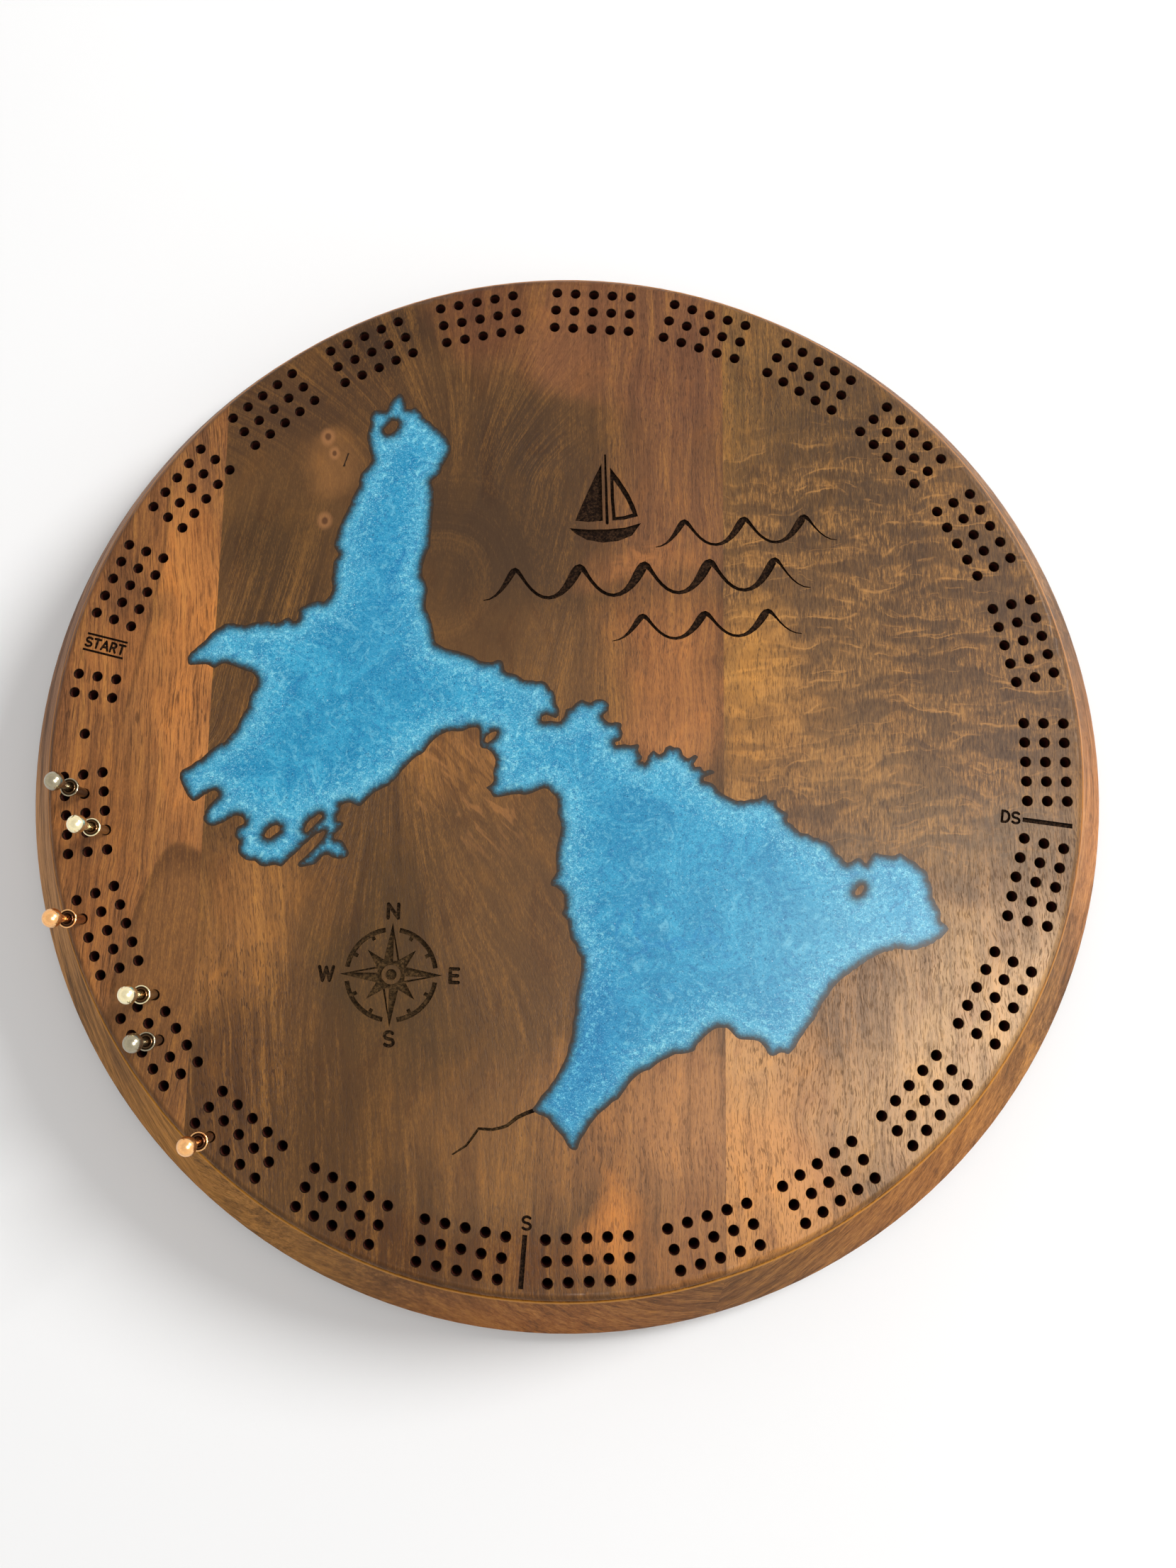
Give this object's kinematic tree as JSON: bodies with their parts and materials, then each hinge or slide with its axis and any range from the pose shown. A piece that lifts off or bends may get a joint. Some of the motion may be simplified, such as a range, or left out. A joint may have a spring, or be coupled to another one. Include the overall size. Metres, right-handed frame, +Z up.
{
  "type": "cribbage board",
  "caption": "Round walnut cribbage board with a flared rim, a blue resin lake inlay, metal pegs and a swinging peg-store cover underneath.",
  "frame": {"origin": "on the board's vertical axis, at the plane its rubber feet stand on", "axes": "+Z up out of the playing face, +Y along the wood grain towards the compass rose's north, +X to the right of the face"},
  "size_m": [0.3716, 0.3716, 0.0649],
  "materials": {
    "walnut_straight": "oiled, straight grain",
    "walnut_crotch": "oiled, dark crotch figure",
    "walnut_curly": "oiled, curly figure",
    "resin": "pearlescent blue casting resin, polished flush",
    "nickel": "polished nickel plate",
    "pale_gold": "polished pale gold plate",
    "copper": "polished copper plate",
    "stainless": "brushed",
    "screw_steel": "zinc plated",
    "nylon": "natural nylon",
    "magnet": "nickel plated",
    "rubber": "matt black"
  },
  "bodies": {
    "board": {"plank_left": "walnut_straight", "plank_centre": "walnut_crotch", "plank_right": "walnut_curly", "resin_inlay": "resin", "cover_pivot_screw": "screw_steel", "cover_washer": "nylon", "cover_magnet": "magnet", "foot_north_east": "rubber", "foot_north_west": "rubber", "foot_south_west": "rubber", "foot_south_east": "rubber", "foot_washers": "screw_steel", "foot_screws": "screw_steel"},
    "storage_cover": {"storage_cover": "stainless"},
    "peg_nickel_lead": {"peg_nickel_lead": "nickel"},
    "peg_gold_lead": {"peg_gold_lead": "pale_gold"},
    "peg_copper_lead": {"peg_copper_lead": "copper"},
    "peg_gold_back": {"peg_gold_back": "pale_gold"},
    "peg_nickel_back": {"peg_nickel_back": "nickel"},
    "peg_copper_back": {"peg_copper_back": "copper"}
  },
  "joints": [
    {"name": "cover_swing", "type": "hinge", "parent": "board", "child": "storage_cover", "pos_m": [-0.054, 0, 0.0047], "axis": [0, 0, 1], "continuous": true},
    {"name": "peg_nickel_lead_lift", "type": "slide", "parent": "board", "child": "peg_nickel_lead", "axis": [0, 0, 1], "range_m": [0, 0.012]},
    {"name": "peg_gold_lead_lift", "type": "slide", "parent": "board", "child": "peg_gold_lead", "axis": [0, 0, 1], "range_m": [0, 0.012]},
    {"name": "peg_copper_lead_lift", "type": "slide", "parent": "board", "child": "peg_copper_lead", "axis": [0, 0, 1], "range_m": [0, 0.012]},
    {"name": "peg_gold_back_lift", "type": "slide", "parent": "board", "child": "peg_gold_back", "axis": [0, 0, 1], "range_m": [0, 0.012]},
    {"name": "peg_nickel_back_lift", "type": "slide", "parent": "board", "child": "peg_nickel_back", "axis": [0, 0, 1], "range_m": [0, 0.012]},
    {"name": "peg_copper_back_lift", "type": "slide", "parent": "board", "child": "peg_copper_back", "axis": [0, 0, 1], "range_m": [0, 0.012]}
  ]
}
